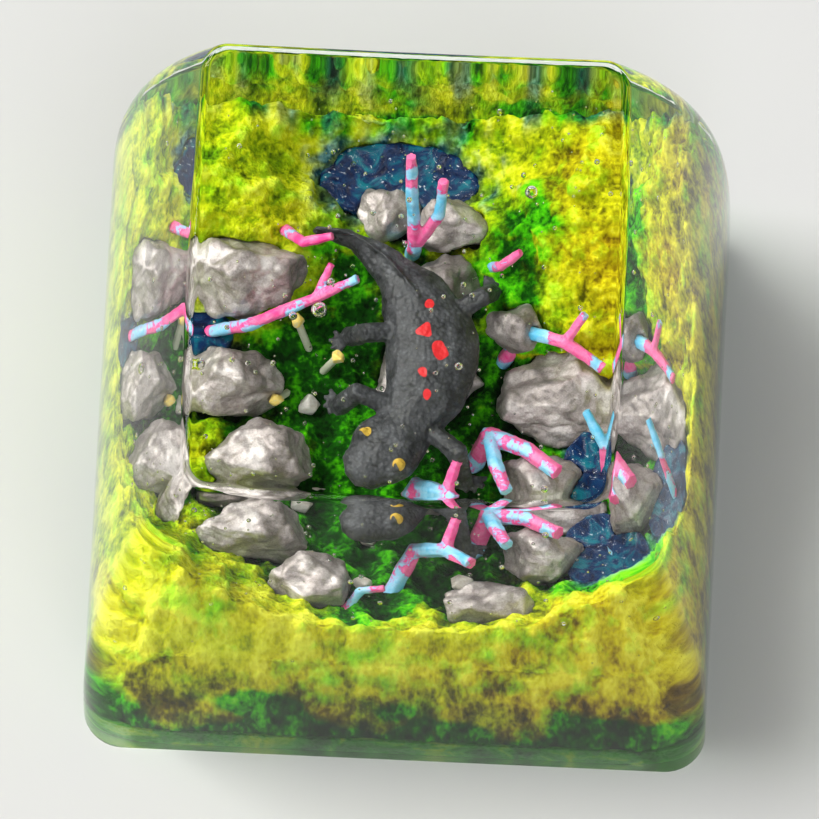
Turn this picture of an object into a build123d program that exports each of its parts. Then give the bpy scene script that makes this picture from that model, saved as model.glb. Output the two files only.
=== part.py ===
from build123d import *
import os
from math import atan2, cos, exp, hypot, pi, sin, sqrt

# Artisan keycap: a clear cast block in a tall sculpted profile, with a mossy rock garden
# cast into it, a dark backing poured in from below, and a cross socket for a key switch.
# Millimetres. +Z is up, -Y faces the typist, and the foot of the block stands on Z = 0.

# Clear block
base_width = 18.2
top_width = 12.2
top_depth = 12.6
top_shift = 0.5
front_height = 13.0
back_height = 16.0
side_curve = 2.6
front_curve = 1.9
back_curve = 1.8
base_corner_radius = 1.2
top_corner_radius = 0.75
dish_radius = 75.0
top_edge_radius = 0.2
overshoot = 0.05
wall_stations = 6

# Backing with the switch socket
clear_wall = 0.6
moss_skirt = 0.8
moss_corner_radius = 1.6
backing_rim_height = 0.8
backing_wall = 0.45
backing_corner_radius = 1.2
cavity_depth = 4.2
ceiling_thickness = 0.9
post_diameter = 5.5
post_recess = 0.6
cross_length = 4.1
cross_slot = 1.3
cross_depth = 3.6
cross_lead_in = 0.2

# Moss garden
moss_floor = 0.8
bank_height = 2.0
tuft_height = 0.3
tuft_spacing = 2.8
tuft_skew = 0.7
ground_stations = 19

# Stones, twigs and the rest, with their places drawn for a garden of this half width
layout_half = 8.5
stone_facets = 14
pebble_facets = 10
stone_bed = 0.7
stone_sink = 0.35
stone_wear = 0.14
pebble_size = 0.32
twig_sink = 0.5
twig_sides = 6
fork_share = 0.85
pool_sides = 11
newt_sides = 8
pool_depth = 0.45
pool_rise = 0.08
pool_shore = 3.0
sprout_height = 1.8
sprout_radius = 0.13
sprout_bud_radius = 0.21
sprout_sink = 0.35

# Newt, with shares counted along its spine from the tail
newt_lift = 2.25
newt_hind_legs = 0.46
newt_fore_legs = 0.75
newt_leg_radius = 0.32
newt_hip = 0.5
newt_knee = 1.75
newt_stance = 2.25
newt_stride = 0.7
newt_step = 1.0
newt_eyes = 0.89
newt_eye_radius = 0.2
newt_eye_spread = 0.72
newt_eye_height = 0.5

# Lengths that follow from the ones above
base_half = base_width / 2
top_front = top_shift - top_depth / 2
top_back = top_shift + top_depth / 2
top_tilt = atan2(back_height - front_height, top_depth)
moss_half = base_half - clear_wall
backing_half = moss_half - moss_skirt
cavity_half = backing_half - backing_wall
backing_top = cavity_depth + ceiling_thickness
floor_level = backing_top + moss_floor
layout_scale = moss_half / layout_half


def wall_section(share, inset, corner):
    """Outline of the walls at a share of the way from the foot to the top edge."""
    half = base_half - (base_half - top_width / 2) * share**side_curve - inset
    front = -base_half + (base_half + top_front) * share**front_curve + inset
    back = base_half - (base_half - top_back) * share**back_curve - inset
    rise = (back_height - front_height) * share
    plane = Plane(
        origin=(0, (front + back) / 2, (front_height + back_height) / 2 * share),
        x_dir=(1, 0, 0),
        z_dir=(0, -rise, back - front),
    )
    return plane * RectangleRounded(2 * half, hypot(back - front, rise), corner)


def walled_block(inset, foot_corner, top_corner, ruled):
    """Solid with the sculpted walls, smooth or in straight steps, carried a little past the top edge."""
    top_share = 1 + overshoot
    shares = [top_share * k / wall_stations for k in range(wall_stations + 1)]
    sections = []
    for share in shares:
        corner = foot_corner + (top_corner - foot_corner) * share
        sections.append(wall_section(share, inset, corner))
    return loft(sections, ruled=ruled)


def dished_block():
    """Outer form: the walls cut off by the tilted spherical dish."""
    reach = (top_width / 2) ** 2 + (top_depth / cos(top_tilt) / 2) ** 2
    lift = sqrt(dish_radius**2 - reach)
    centre = (
        0,
        top_shift - lift * sin(top_tilt),
        (front_height + back_height) / 2 + lift * cos(top_tilt),
    )
    block = walled_block(0, base_corner_radius, top_corner_radius, ruled=False)
    block -= Pos(*centre) * Sphere(dish_radius)
    rim = block.faces().filter_by(GeomType.SPHERE)[0].edges()
    return fillet(rim, top_edge_radius)


def moss_mounds():
    """Hillocks of the garden: place, height and spread of each."""
    return [
        (0.62 * moss_half, 0.58 * moss_half, 4.2, 3.3),
        (-0.60 * moss_half, 0.62 * moss_half, 3.0, 2.8),
        (-0.80 * moss_half, -0.74 * moss_half, 2.4, 2.7),
        (0.80 * moss_half, -0.76 * moss_half, 1.9, 2.7),
    ]


def pool_layout():
    """Pools by name: place, half sizes, turn and height over the garden's floor."""
    return {
        "pool_back": (-0.5, 6.1, 2.5, 1.3, 0, 0.7),
        "pool_left": (-6.2, 0.9, 1.0, 0.9, 0, 0.8),
        "pool_right": (5.9, -3.0, 1.2, 1.7, -15, 0.9),
    }


def ground(x, y):
    """Height of the moss at a point of the garden, with a level bed for each pool."""
    height = rolling_ground(x, y)
    for place_x, place_y, size_x, size_y, _, level in pool_layout().values():
        away_x = x - layout_scale * place_x
        away_y = y - layout_scale * place_y
        away = hypot(away_x / size_x, away_y / size_y)
        height = min(height, floor_level + level + pool_shore * max(0, away - 1))
    return height


def rolling_ground(x, y):
    """Height of the banks, hillocks and tufts, before the pools are let in."""
    bank = bank_height * ((x / moss_half) ** 4 + (y / moss_half) ** 4)
    hills = 0
    for place_x, place_y, height, spread in moss_mounds():
        hills += height * exp(-((x - place_x) ** 2 + (y - place_y) ** 2) / spread**2)
    rows = sin(2 * pi * x / tuft_spacing + tuft_skew * y)
    columns = sin(2 * pi * y / tuft_spacing - tuft_skew * x)
    return floor_level + bank + hills + tuft_height * rows * columns


def inner_block():
    """The space inside the clear wall, up to the top."""
    return walled_block(clear_wall, moss_corner_radius, moss_corner_radius, ruled=True)


def garden_core():
    """Everything under the ground and inside the clear wall, down to the foot, in rows of small flats."""
    span = 2 * base_half / (ground_stations - 1)
    places = [span * k - base_half for k in range(ground_stations)]
    rows = []
    for y in places:
        surface = [(x, y, ground(x, y)) for x in places]
        foot = [(base_half, y, -back_height), (-base_half, y, -back_height)]
        rows.append(Face(Wire.make_polygon(surface + foot)))
    return loft(rows, ruled=True) & inner_block()


def above_floor(level):
    """Half space over a level, as a box larger than the cap."""
    size = 4 * base_width
    return Pos(0, 0, level) * Box(size, size, size, align=(Align.CENTER, Align.CENTER, Align.MIN))


def backing_body():
    """Envelope of the dark backing: a rim along the foot and a raised core."""
    rim = inner_block() - above_floor(backing_rim_height)
    plan = RectangleRounded(2 * backing_half, 2 * backing_half, backing_corner_radius)
    return rim + extrude(plan, backing_top)


def stem_base(envelope):
    """Backing with its cavity, round post and cross socket."""
    opening = RectangleRounded(2 * cavity_half, 2 * cavity_half, backing_corner_radius)
    base = envelope - extrude(opening, cavity_depth)
    post_top = backing_top - ceiling_thickness / 2
    base += Pos(0, 0, post_recess) * extrude(Circle(post_diameter / 2), post_top - post_recess)
    cross = Rectangle(cross_length, cross_slot) + Rectangle(cross_slot, cross_length)
    mouth = Rectangle(cross_length + cross_lead_in, cross_slot + cross_lead_in)
    mouth += Rectangle(cross_slot + cross_lead_in, cross_length + cross_lead_in)
    base -= Pos(0, 0, post_recess) * extrude(cross, cross_depth)
    base -= Pos(0, 0, post_recess) * extrude(mouth, cross_lead_in / 2)
    return base


def stone(size_x, size_y, size_z, facets, turn):
    """Water-worn stone: a block with flats struck off evenly all round it."""
    body = Box(4 * size_x, 4 * size_y, 4 * size_z)
    golden = pi * (3 - sqrt(5))
    for k in range(facets):
        height = 1 - 2 * (k + 0.5) / facets
        ring = sqrt(1 - height**2)
        angle = golden * k + turn
        normal = (ring * cos(angle) / size_x, ring * sin(angle) / size_y, height / size_z)
        wear = 1 - stone_wear + stone_wear * sin(3 * angle + turn)
        touch = (
            wear * size_x * ring * cos(angle),
            wear * size_y * ring * sin(angle),
            wear * size_z * height,
        )
        body = split(body, Plane(origin=touch, z_dir=normal), keep=Keep.BOTTOM)
    return body


def stone_layout():
    """Stones: place across the garden, half sizes and turn, from left to right and back to front."""
    return [
        (-4.9, 2.5, 1.9, 1.3, 1.2, 0.4),
        (-5.2, -0.6, 1.6, 1.2, 1.1, 1.9),
        (-4.2, -2.9, 1.7, 1.1, 1.1, 3.1),
        (-2.4, -4.9, 1.3, 1.1, 1.0, 4.4),
        (-0.8, 5.0, 1.0, 0.9, 0.9, 0.9),
        (1.2, 4.5, 1.2, 0.9, 0.9, 2.3),
        (0.9, 2.6, 1.3, 1.1, 1.0, 5.2),
        (0.5, -0.1, 1.7, 1.4, 1.0, 1.2),
        (4.7, -0.6, 2.0, 1.6, 1.0, 3.7),
        (4.2, -3.4, 1.3, 1.1, 0.9, 0.2),
        (2.7, -5.6, 1.4, 1.0, 0.9, 2.8),
        (3.2, 1.4, 0.9, 0.8, 0.7, 4.9),
    ]


def pebble_layout():
    """Small pale pebbles: place across the garden and turn."""
    return [(-0.9, -2.1, 0.3), (-1.0, -4.2, 1.4), (1.9, -4.3, 2.6), (-2.9, -0.9, 3.9)]


def set_stone(place_x, place_y, size_x, size_y, size_z, facets, turn):
    """Stone bedded in the moss at its place."""
    x, y = layout_scale * place_x, layout_scale * place_y
    level = ground(x, y) + stone_bed * size_z - stone_sink
    return Pos(x, y, level) * stone(size_x, size_y, size_z, facets, turn)


def twig(radius, *branches):
    """Bare twig: straight runs mitred together, one run of points for each branch."""
    wood = None
    for branch in branches:
        path = Polyline(*branch)
        start = Plane(origin=path @ 0, z_dir=path % 0)
        girth = radius if wood is None else fork_share * radius
        limb = sweep(start * RegularPolygon(girth, twig_sides), path=path, transition=Transition.RIGHT)
        wood = limb if wood is None else wood + limb
    return wood


def rooted(place_x, place_y, *steps):
    """Points of a branch that starts in the moss and goes up by the steps given."""
    x, y = layout_scale * place_x, layout_scale * place_y
    z = ground(x, y) - twig_sink
    points = [(x, y, z)]
    for step_x, step_y, step_z in steps:
        x, y, z = x + step_x, y + step_y, z + step_z
        points.append((x, y, z))
    return points


def fork(branch, at, *steps):
    """Points of a side branch that leaves another one at one of its points."""
    x, y, z = branch[at]
    points = [(x, y, z)]
    for step_x, step_y, step_z in steps:
        x, y, z = x + step_x, y + step_y, z + step_z
        points.append((x, y, z))
    return points


def twigs():
    """All the twigs of the garden."""
    back = rooted(0.0, 4.0, (0.1, -0.5, 2.2), (-0.1, 0.8, 1.9), (-0.1, 0.9, 1.5))
    left = rooted(-6.3, 1.1, (1.6, -0.3, 2.0), (1.9, 0.8, 0.4), (1.3, 0.4, 0.9))
    right = rooted(2.7, 0.4, (0.8, 0.9, 1.5), (1.2, -0.5, 0.6), (1.2, -0.7, -0.3))
    low = rooted(2.1, -2.6, (0.5, 0.6, 1.7), (1.1, -0.6, 0.7), (1.0, -0.8, 0.3))
    front = rooted(-0.2, -4.6, (0.7, 0.9, 1.5), (0.9, -0.4, 0.6), (0.8, -0.9, 0.4))
    return [
        twig(0.22, back, fork(back, 1, (0.7, 0.5, 1.6), (0.1, 0.7, 1.1))),
        twig(0.18, left, fork(left, 2, (0.5, 0.9, 0.7))),
        twig(0.22, right, fork(right, 2, (0.6, 0.7, 0.7))),
        twig(0.28, low, fork(low, 1, (0.2, -1.1, 0.9), (0.4, -1.0, 0.2))),
        twig(0.26, front, fork(front, 2, (0.3, 0.9, 0.7))),
        twig(0.17, rooted(-3.9, 4.1, (0.7, -0.9, 1.4), (0.9, 0.1, 0.4))),
        twig(0.16, rooted(-1.6, -5.9, (0.6, 0.5, 1.1), (0.7, 0.0, 0.2))),
        twig(0.18, rooted(6.3, -3.4, (-0.3, 0.9, 1.9), (-0.6, 0.9, 0.6))),
        twig(0.17, rooted(2.2, 3.4, (0.5, -0.4, 1.3), (0.6, 0.3, 0.6))),
    ]


def oval(half_width, half_height, sides):
    """Many-sided oval."""
    angles = [2 * pi * k / sides for k in range(sides)]
    return Polygon(*[(half_width * cos(a), half_height * sin(a)) for a in angles], align=None)


def pool(place_x, place_y, size_x, size_y, turn, level):
    """Still dark pool: a shallow plate let into the moss."""
    x, y = layout_scale * place_x, layout_scale * place_y
    bed = floor_level + level + pool_rise - pool_depth
    plate = Rot(0, 0, turn) * oval(size_x, size_y, pool_sides)
    return Pos(x, y, bed) * extrude(plate, pool_depth)


def sprout_layout():
    """Sprouts: place across the garden, lean and turn."""
    return [(-2.9, 0.8, 20, 220), (-3.3, -0.2, 35, 330), (-2.5, 0.2, 15, 80)]


def sprout(place_x, place_y, lean, turn):
    """Pale sprout: a slim stalk with a rounded bud."""
    bud = sprout_bud_radius
    stalk = extrude(RegularPolygon(sprout_radius, twig_sides), sprout_height)
    body = stalk + Pos(0, 0, sprout_height) * stone(bud, bud, bud, pebble_facets, 0)
    x, y = layout_scale * place_x, layout_scale * place_y
    level = ground(x, y) - sprout_sink
    return Pos(x, y, level) * Rot(0, 0, turn) * Rot(lean, 0, 0) * body


def newt_spine():
    """Line of the newt's back, from the tip of the tail to the snout."""
    lift = floor_level + newt_lift
    return Spline(
        (-2.9, 3.7, lift + 0.6),
        (-1.6, 3.5, lift + 0.1),
        (-0.2, 2.3, lift + 0.1),
        (0.7, 0.7, lift + 0.1),
        (0.7, -0.9, lift + 0.1),
        (-0.1, -2.5, lift),
        (-1.4, -3.9, lift + 0.1),
    )


def newt_girth():
    """Half width and half height of the newt at shares along its spine."""
    return [
        (0.00, 0.08, 0.16),
        (0.14, 0.24, 0.46),
        (0.28, 0.56, 0.62),
        (0.40, 1.10, 0.82),
        (0.54, 1.42, 0.92),
        (0.68, 1.22, 0.84),
        (0.78, 0.86, 0.64),
        (0.88, 1.10, 0.66),
        (0.96, 0.74, 0.46),
        (1.00, 0.30, 0.22),
    ]


def newt_frame(spine, share):
    """Plane across the newt at a share along its spine, with its x axis level."""
    ahead = spine % share
    flat = hypot(ahead.X, ahead.Y)
    return Plane(origin=spine @ share, x_dir=(-ahead.Y / flat, ahead.X / flat, 0), z_dir=ahead)


def newt():
    """Newt clambering over the stones."""
    spine = newt_spine()
    sections = []
    for share, half_width, half_height in newt_girth():
        sections.append(newt_frame(spine, share) * oval(half_width, half_height, newt_sides))
    body = loft(sections, ruled=True)
    for share, stride in ((newt_hind_legs, -newt_stride), (newt_fore_legs, newt_stride)):
        frame = newt_frame(spine, share)
        for side in (-1, 1):
            hip = frame.from_local_coords((newt_hip * side, 0, 0))
            knee = frame.from_local_coords((newt_knee * side, newt_leg_radius, stride / 3))
            foot = frame.from_local_coords((newt_stance * side, -newt_step, stride))
            body += twig(newt_leg_radius, [hip, knee, foot])
    brow = newt_frame(spine, newt_eyes)
    for side in (-1, 1):
        eye = brow.from_local_coords((newt_eye_spread * side, newt_eye_height, 0))
        bead = stone(newt_eye_radius, newt_eye_radius, newt_eye_radius, pebble_facets, 0)
        body += Pos(eye.X, eye.Y, eye.Z) * bead
    return body


def touching(piece, others):
    """Those of the other pieces whose boxes meet the piece's box."""
    box = piece.bounding_box()
    found = []
    for other in others:
        far = other.bounding_box()
        apart = (
            far.min.X > box.max.X or far.max.X < box.min.X
            or far.min.Y > box.max.Y or far.max.Y < box.min.Y
            or far.min.Z > box.max.Z or far.max.Z < box.min.Z
        )
        if not apart:
            found.append(other)
    return found


def carved(piece, others):
    """Piece with the shapes of the others pressed into it."""
    for other in touching(piece, others):
        piece -= other
    return piece


def garden():
    """Pieces cast into the block, by name, each carved to fit the ones set before it."""
    raw = {"newt": newt()}
    for k, branch in enumerate(twigs(), 1):
        raw[f"twig_{k}"] = branch
    for k, place in enumerate(sprout_layout(), 1):
        raw[f"sprout_{k}"] = sprout(*place)
    for k, (x, y, size_x, size_y, size_z, turn) in enumerate(stone_layout(), 1):
        raw[f"stone_{k}"] = set_stone(x, y, size_x, size_y, size_z, stone_facets, turn)
    for k, (x, y, turn) in enumerate(pebble_layout(), 1):
        raw[f"pebble_{k}"] = set_stone(x, y, pebble_size, pebble_size, pebble_size, pebble_facets, turn)
    for name, place in pool_layout().items():
        raw[name] = pool(*place)
    return raw


def fitted(raw):
    """The same pieces, each carved by all those that come before it."""
    pieces = {}
    earlier = []
    for name, piece in raw.items():
        pieces[name] = carved(piece, earlier)
        earlier.append(piece)
    return pieces


raw = garden()
core = garden_core()
backing = backing_body()
pieces = fitted(raw)
pieces["moss_terrain"] = carved(core - backing, raw.values())
pieces["stem_base"] = stem_base(backing)
pieces["clear_resin_block"] = carved(dished_block() - core, raw.values())

os.makedirs("parts", exist_ok=True)
for name, piece in pieces.items():
    export_step(piece, f"parts/{name}.step")
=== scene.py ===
"""Looks of a clear cast keycap that holds a moss garden with gravel, painted twigs and a newt."""

import logging
import math
import random
from dataclasses import dataclass
from enum import Enum
from typing import Any, Callable, Sequence

import bmesh
import bpy
from bmesh.types import BMesh, BMEdge, BMVert
from mathutils import Matrix, Vector, noise
from mathutils.bvhtree import BVHTree

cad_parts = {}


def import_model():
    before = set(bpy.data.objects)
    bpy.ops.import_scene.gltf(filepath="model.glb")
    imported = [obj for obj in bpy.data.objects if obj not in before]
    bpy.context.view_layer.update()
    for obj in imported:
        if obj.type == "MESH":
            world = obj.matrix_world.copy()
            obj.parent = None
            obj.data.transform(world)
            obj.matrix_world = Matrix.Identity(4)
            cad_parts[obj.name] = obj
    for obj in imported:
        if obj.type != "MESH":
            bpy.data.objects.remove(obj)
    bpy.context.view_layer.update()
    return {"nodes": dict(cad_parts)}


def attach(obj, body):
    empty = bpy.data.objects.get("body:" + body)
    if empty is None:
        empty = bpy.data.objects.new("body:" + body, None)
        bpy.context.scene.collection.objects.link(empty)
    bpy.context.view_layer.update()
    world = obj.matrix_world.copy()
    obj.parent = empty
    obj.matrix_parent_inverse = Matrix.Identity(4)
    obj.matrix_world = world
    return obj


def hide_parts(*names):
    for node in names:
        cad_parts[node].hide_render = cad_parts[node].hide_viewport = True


LOG = logging.getLogger("keycap")
MM = 0.001
FRAME_PIXELS = 819
SENSOR_MM = 36.0
UP = Vector((0.0, 0.0, 1.0))
NOISE_RANGE = (0.3, 0.7)
HANGING = (1.0, 1.0, 0.36)

Pair = tuple[float, float]
Triple = tuple[float, float, float]
Four = tuple[float, float, float, float]
Layers = tuple[Pair, ...]
Stops = tuple[Four, ...]


def clamp(value: float, low: float = 0.0, high: float = 1.0) -> float:
    """Keeps a value between two limits."""
    return max(low, min(high, value))


def layered(spot: Vector, layers: Layers) -> float:
    """Sums layers of smooth noise at a point, each given by its pace and its weight."""
    return sum(weight * noise.noise(spot * pace) for pace, weight in layers)


def hill(spot: Vector, x: float, y: float, reach: float) -> float:
    """Gives 1 at a place and less around it, as far as it reaches."""
    return math.exp(-((math.hypot(spot.x - x, spot.y - y) / reach) ** 2))


def as_mesh(form: BMesh, name: str) -> bpy.types.Mesh:
    """Turns a form into a mesh.

    Args:
        form: The form, which is freed.
        name: The mesh's name.

    Returns:
        The mesh.
    """
    mesh = bpy.data.meshes.new(name)
    form.to_mesh(mesh)
    form.free()
    return mesh


def show(name: str, data: Any) -> bpy.types.Object:
    """Puts a mesh, a light or a camera in the scene.

    Args:
        name: The object's name.
        data: What the object holds.

    Returns:
        The object.
    """
    made = bpy.data.objects.new(name, data)
    bpy.context.scene.collection.objects.link(made)
    return made


class Slot(Enum):
    """The record's material slots for the pieces made here."""

    RESIN = "clear_resin"
    MOSS = "moss"
    STONE = "stone"
    PALE_STONE = "pale_stone"
    TWIG = "painted_twig"
    CLAY = "grey_clay"
    SPROUT = "sprout"
    POOL = "pool_resin"


@dataclass(frozen=True)
class Grain:
    """A noise pattern.

    Attributes:
        size: Size of its main features in millimetres.
        detail: Number of finer octaves.
        roughness: Strength of the finer octaves.
        warp: Distortion of the pattern.
        squeeze: Scale along each axis, small where the pattern is drawn out.
        turn: Turn of a drawn-out pattern about each axis, in degrees.
    """

    size: float
    detail: float = 3.0
    roughness: float = 0.5
    warp: float = 0.0
    squeeze: Triple | None = None
    turn: Triple = (0.0, 0.0, 0.0)


class Nodes:
    """A node tree that is built from sockets and plain values."""

    def __init__(self, tree: bpy.types.NodeTree) -> None:
        """Keeps the tree at hand."""
        self.tree = tree

    def feed(self, target: Any, source: Any) -> None:
        """Joins an input to a socket, or sets it to a plain value.

        Args:
            target: The input.
            source: The socket or the value.
        """
        if isinstance(source, bpy.types.NodeSocket):
            self.tree.links.new(source, target)
        else:
            target.default_value = source

    def add(self, kind: str, output: Any, inputs: dict[Any, Any], **settings: Any) -> Any:
        """Adds a node.

        Args:
            kind: The node's type, after the part that every type starts with.
            output: Name or number of the output that is wanted.
            inputs: Sockets and values for the inputs, by name or number.
            settings: Properties of the node.

        Returns:
            The output's socket.
        """
        made = self.tree.nodes.new(f"ShaderNode{kind}")
        for key, value in settings.items():
            setattr(made, key, value)
        for key, value in inputs.items():
            self.feed(made.inputs[key], value)
        return made.outputs[output]

    def stretch(
        self, factor: Any, low: float, high: float, start: Any = 0.0, end: Any = 1.0
    ) -> Any:
        """Maps a factor's range from low to high to one from start to end, clamped."""
        limits = {"From Min": low, "From Max": high, "To Min": start, "To Max": end}
        return self.add("MapRange", "Result", {"Value": factor, **limits})


class Shader(Nodes):
    """The nodes of a material, whose patterns lie on the object's own coordinates."""

    def __init__(self, name: str) -> None:
        """Starts a material that holds one Principled shader.

        Args:
            name: The material's name.
        """
        self.material = bpy.data.materials.new(name)
        self.material.use_nodes = True
        super().__init__(self.material.node_tree)
        self.surface = self.tree.nodes["Principled BSDF"]
        self.coordinates = self.add("TexCoord", "Object", {})

    def grain(self, grain: Grain) -> Any:
        """Adds a noise pattern.

        Args:
            grain: The pattern.

        Returns:
            The factor's socket.
        """
        place = self.coordinates
        if grain.squeeze:
            turn = tuple(math.radians(angle) for angle in grain.turn)
            drawn = {"Vector": place, "Rotation": turn, "Scale": grain.squeeze}
            place = self.add("Mapping", "Vector", drawn)
        look = {"Detail": grain.detail, "Roughness": grain.roughness, "Distortion": grain.warp}
        scale = 1.0 / (grain.size * MM)
        return self.add("TexNoise", "Fac", {"Vector": place, "Scale": scale, **look})

    def cells(self, size: float) -> Any:
        """Adds a pattern of cells, by their size in millimetres, and returns its distances."""
        inputs = {"Vector": self.coordinates, "Scale": 1.0 / (size * MM)}
        return self.add("TexVoronoi", "Distance", inputs)

    def painted(self, name: str) -> Any:
        """Reads a value that was painted on the mesh's vertices."""
        return self.add("Attribute", "Fac", {}, attribute_name=name)

    def ramp(self, factor: Any, stops: Stops) -> Any:
        """Turns a factor into a colour.

        Args:
            factor: The socket to read.
            stops: Places from 0 to 1, each with its red, green and blue.

        Returns:
            The colour's socket.
        """
        colour = self.add("ValToRGB", "Color", {"Fac": factor})
        elements = colour.node.color_ramp.elements
        while len(elements) < len(stops):
            elements.new(0.5)
        for element, (place, *tint) in zip(elements, stops):
            element.position = place
            element.color = (*tint, 1.0)
        return colour

    def centred(self, factor: Any) -> Any:
        """Spreads a noise factor to run from -0.5 to 0.5."""
        return self.stretch(factor, *NOISE_RANGE, -0.5, 0.5)

    def sum(self, first: Any, second: Any, weight: float) -> Any:
        """Adds a weighted second factor to the first."""
        inputs = {0: second, 1: weight, 2: first}
        return self.add("Math", "Value", inputs, operation="MULTIPLY_ADD")

    def mix(self, factor: Any, first: Any, second: Any) -> Any:
        """Mixes two colours, with as much of the second as the factor says."""
        return self.add("Mix", 2, {0: factor, 6: first, 7: second}, data_type="RGBA")

    def bump(self, height: Any, depth: float) -> Any:
        """Turns a factor into small relief, by its depth in millimetres."""
        return self.add("Bump", "Normal", {"Height": height, "Distance": depth * MM})

    def finish(self, **values: Any) -> bpy.types.Material:
        """Sets the Principled shader's inputs.

        Args:
            values: Sockets and values by the input's name, with _ for a space.

        Returns:
            The material.
        """
        for key, value in values.items():
            self.feed(self.surface.inputs[key.replace("_", " ")], value)
        return self.material


@dataclass(frozen=True)
class ResinFinish:
    """Clear polished casting resin."""

    ior: float = 1.5
    tint: Four = (0.985, 0.995, 0.98, 1.0)
    gloss: float = 0.015
    glare: Four = (0.25, 0.25, 0.25, 1.0)
    passed_light: Four = (0.93, 0.96, 0.93, 1.0)

    def material(self) -> bpy.types.Material:
        """Makes the material, which lets the lamps shine straight in.

        Returns:
            The material.
        """
        shader = Shader("clear_resin")
        clear = shader.add("BsdfTransparent", "BSDF", {"Color": self.passed_light})
        shadow = shader.add("LightPath", "Is Shadow Ray", {})
        both = {0: shadow, 1: shader.surface.outputs["BSDF"], 2: clear}
        either = shader.add("MixShader", "Shader", both)
        shader.feed(shader.tree.nodes["Material Output"].inputs["Surface"], either)
        shader.finish(Base_Color=self.tint, Roughness=self.gloss, IOR=self.ior)
        return shader.finish(Transmission_Weight=1.0, Specular_Tint=self.glare)


@dataclass(frozen=True)
class MossFinish:
    """Flocked moss, yellow with painted light on its crests and deep green with painted shade in
    its hollows.
    """

    dry: Stops = (
        (0.0, 0.012, 0.032, 0.001),
        (0.24, 0.075, 0.150, 0.001),
        (0.44, 0.27, 0.41, 0.002),
        (0.64, 0.57, 0.65, 0.006),
        (1.0, 0.82, 0.91, 0.07),
    )
    warm: Stops = (
        (0.0, 0.045, 0.026, 0.001),
        (0.24, 0.18, 0.110, 0.002),
        (0.44, 0.46, 0.35, 0.003),
        (0.64, 0.68, 0.59, 0.006),
        (1.0, 0.92, 0.87, 0.07),
    )
    lush: Stops = (
        (0.0, 0.002, 0.018, 0.001),
        (0.3, 0.006, 0.085, 0.001),
        (0.6, 0.06, 0.46, 0.001),
        (1.0, 0.32, 0.84, 0.01),
    )
    # Teal dye around the pools, also used for the painted runs on the back crest that stand in
    # for blurred reflections.
    stain: Stops = (
        (0.25, 0.002, 0.008, 0.020),
        (0.55, 0.004, 0.060, 0.085),
        (0.85, 0.16, 0.34, 0.36),
    )
    fuzz: Grain = Grain(0.15, squeeze=HANGING)
    clumps: Grain = Grain(0.34, squeeze=HANGING)
    fuzz_tone: float = 0.36
    clump_tone: float = 0.27
    clump_green: float = 0.3
    clump_relief: float = 0.8
    green_range: Pair = (0.2, 0.75)
    relief: float = 0.11

    def material(self) -> bpy.types.Material:
        """Makes the material from what is painted on the bank.

        Returns:
            The material.
        """
        shader = Shader("flocked_moss")
        fuzz, clumps = shader.grain(self.fuzz), shader.grain(self.clumps)
        uneven = shader.centred(clumps)
        # moss_tone carries the painted light and shade as well as the moss's own tone.
        tone = shader.sum(shader.painted("moss_tone"), shader.centred(fuzz), self.fuzz_tone)
        tone = shader.sum(tone, uneven, self.clump_tone)
        dry, warm = shader.ramp(tone, self.dry), shader.ramp(tone, self.warm)
        green = shader.sum(shader.painted("moss_green"), uneven, self.clump_green)
        green = shader.stretch(green, *self.green_range)
        body = shader.mix(shader.painted("moss_warm"), dry, warm)
        body = shader.mix(green, body, shader.ramp(tone, self.lush))
        body = shader.mix(shader.painted("moss_stain"), body, shader.ramp(tone, self.stain))
        relief = shader.bump(shader.sum(fuzz, clumps, self.clump_relief), self.relief)
        shader.finish(Base_Color=body, Normal=relief)
        return shader.finish(Roughness=0.9, Specular_IOR_Level=0.08)


@dataclass(frozen=True)
class StoneFinish:
    """Worn gravel with a silvery sheen and fine lines."""

    name: str = "worn_gravel"
    shades: Stops = (
        (0.3, 0.16, 0.135, 0.13),
        (0.5, 0.36, 0.315, 0.305),
        (0.68, 0.63, 0.58, 0.57),
    )
    metallic: float = 0.5
    clouds: Grain = Grain(0.9, 5.0, 0.6, 0.6)
    grit: Grain = Grain(0.06, 3.0, 0.7)
    lines: Grain = Grain(0.16, squeeze=(0.12, 0.12, 1.0), turn=(35.0, 20.0, 0.0))
    grit_tone: float = 0.16
    grit_relief: float = 0.5
    line_relief: float = 1.8
    gloss: Pair = (0.36, 0.56)
    relief: float = 0.03

    def material(self) -> bpy.types.Material:
        """Makes the material.

        Returns:
            The material.
        """
        shader = Shader(self.name)
        clouds, grit, lines = map(shader.grain, (self.clouds, self.grit, self.lines))
        tone = shader.sum(clouds, shader.centred(grit), self.grit_tone)
        rough = shader.sum(shader.sum(clouds, grit, self.grit_relief), lines, self.line_relief)
        gloss = shader.stretch(grit, *NOISE_RANGE, *self.gloss)
        shader.finish(Base_Color=shader.ramp(tone, self.shades), Roughness=gloss)
        shader.finish(Metallic=self.metallic, Specular_IOR_Level=0.5)
        return shader.finish(Normal=shader.bump(rough, self.relief))


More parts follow.
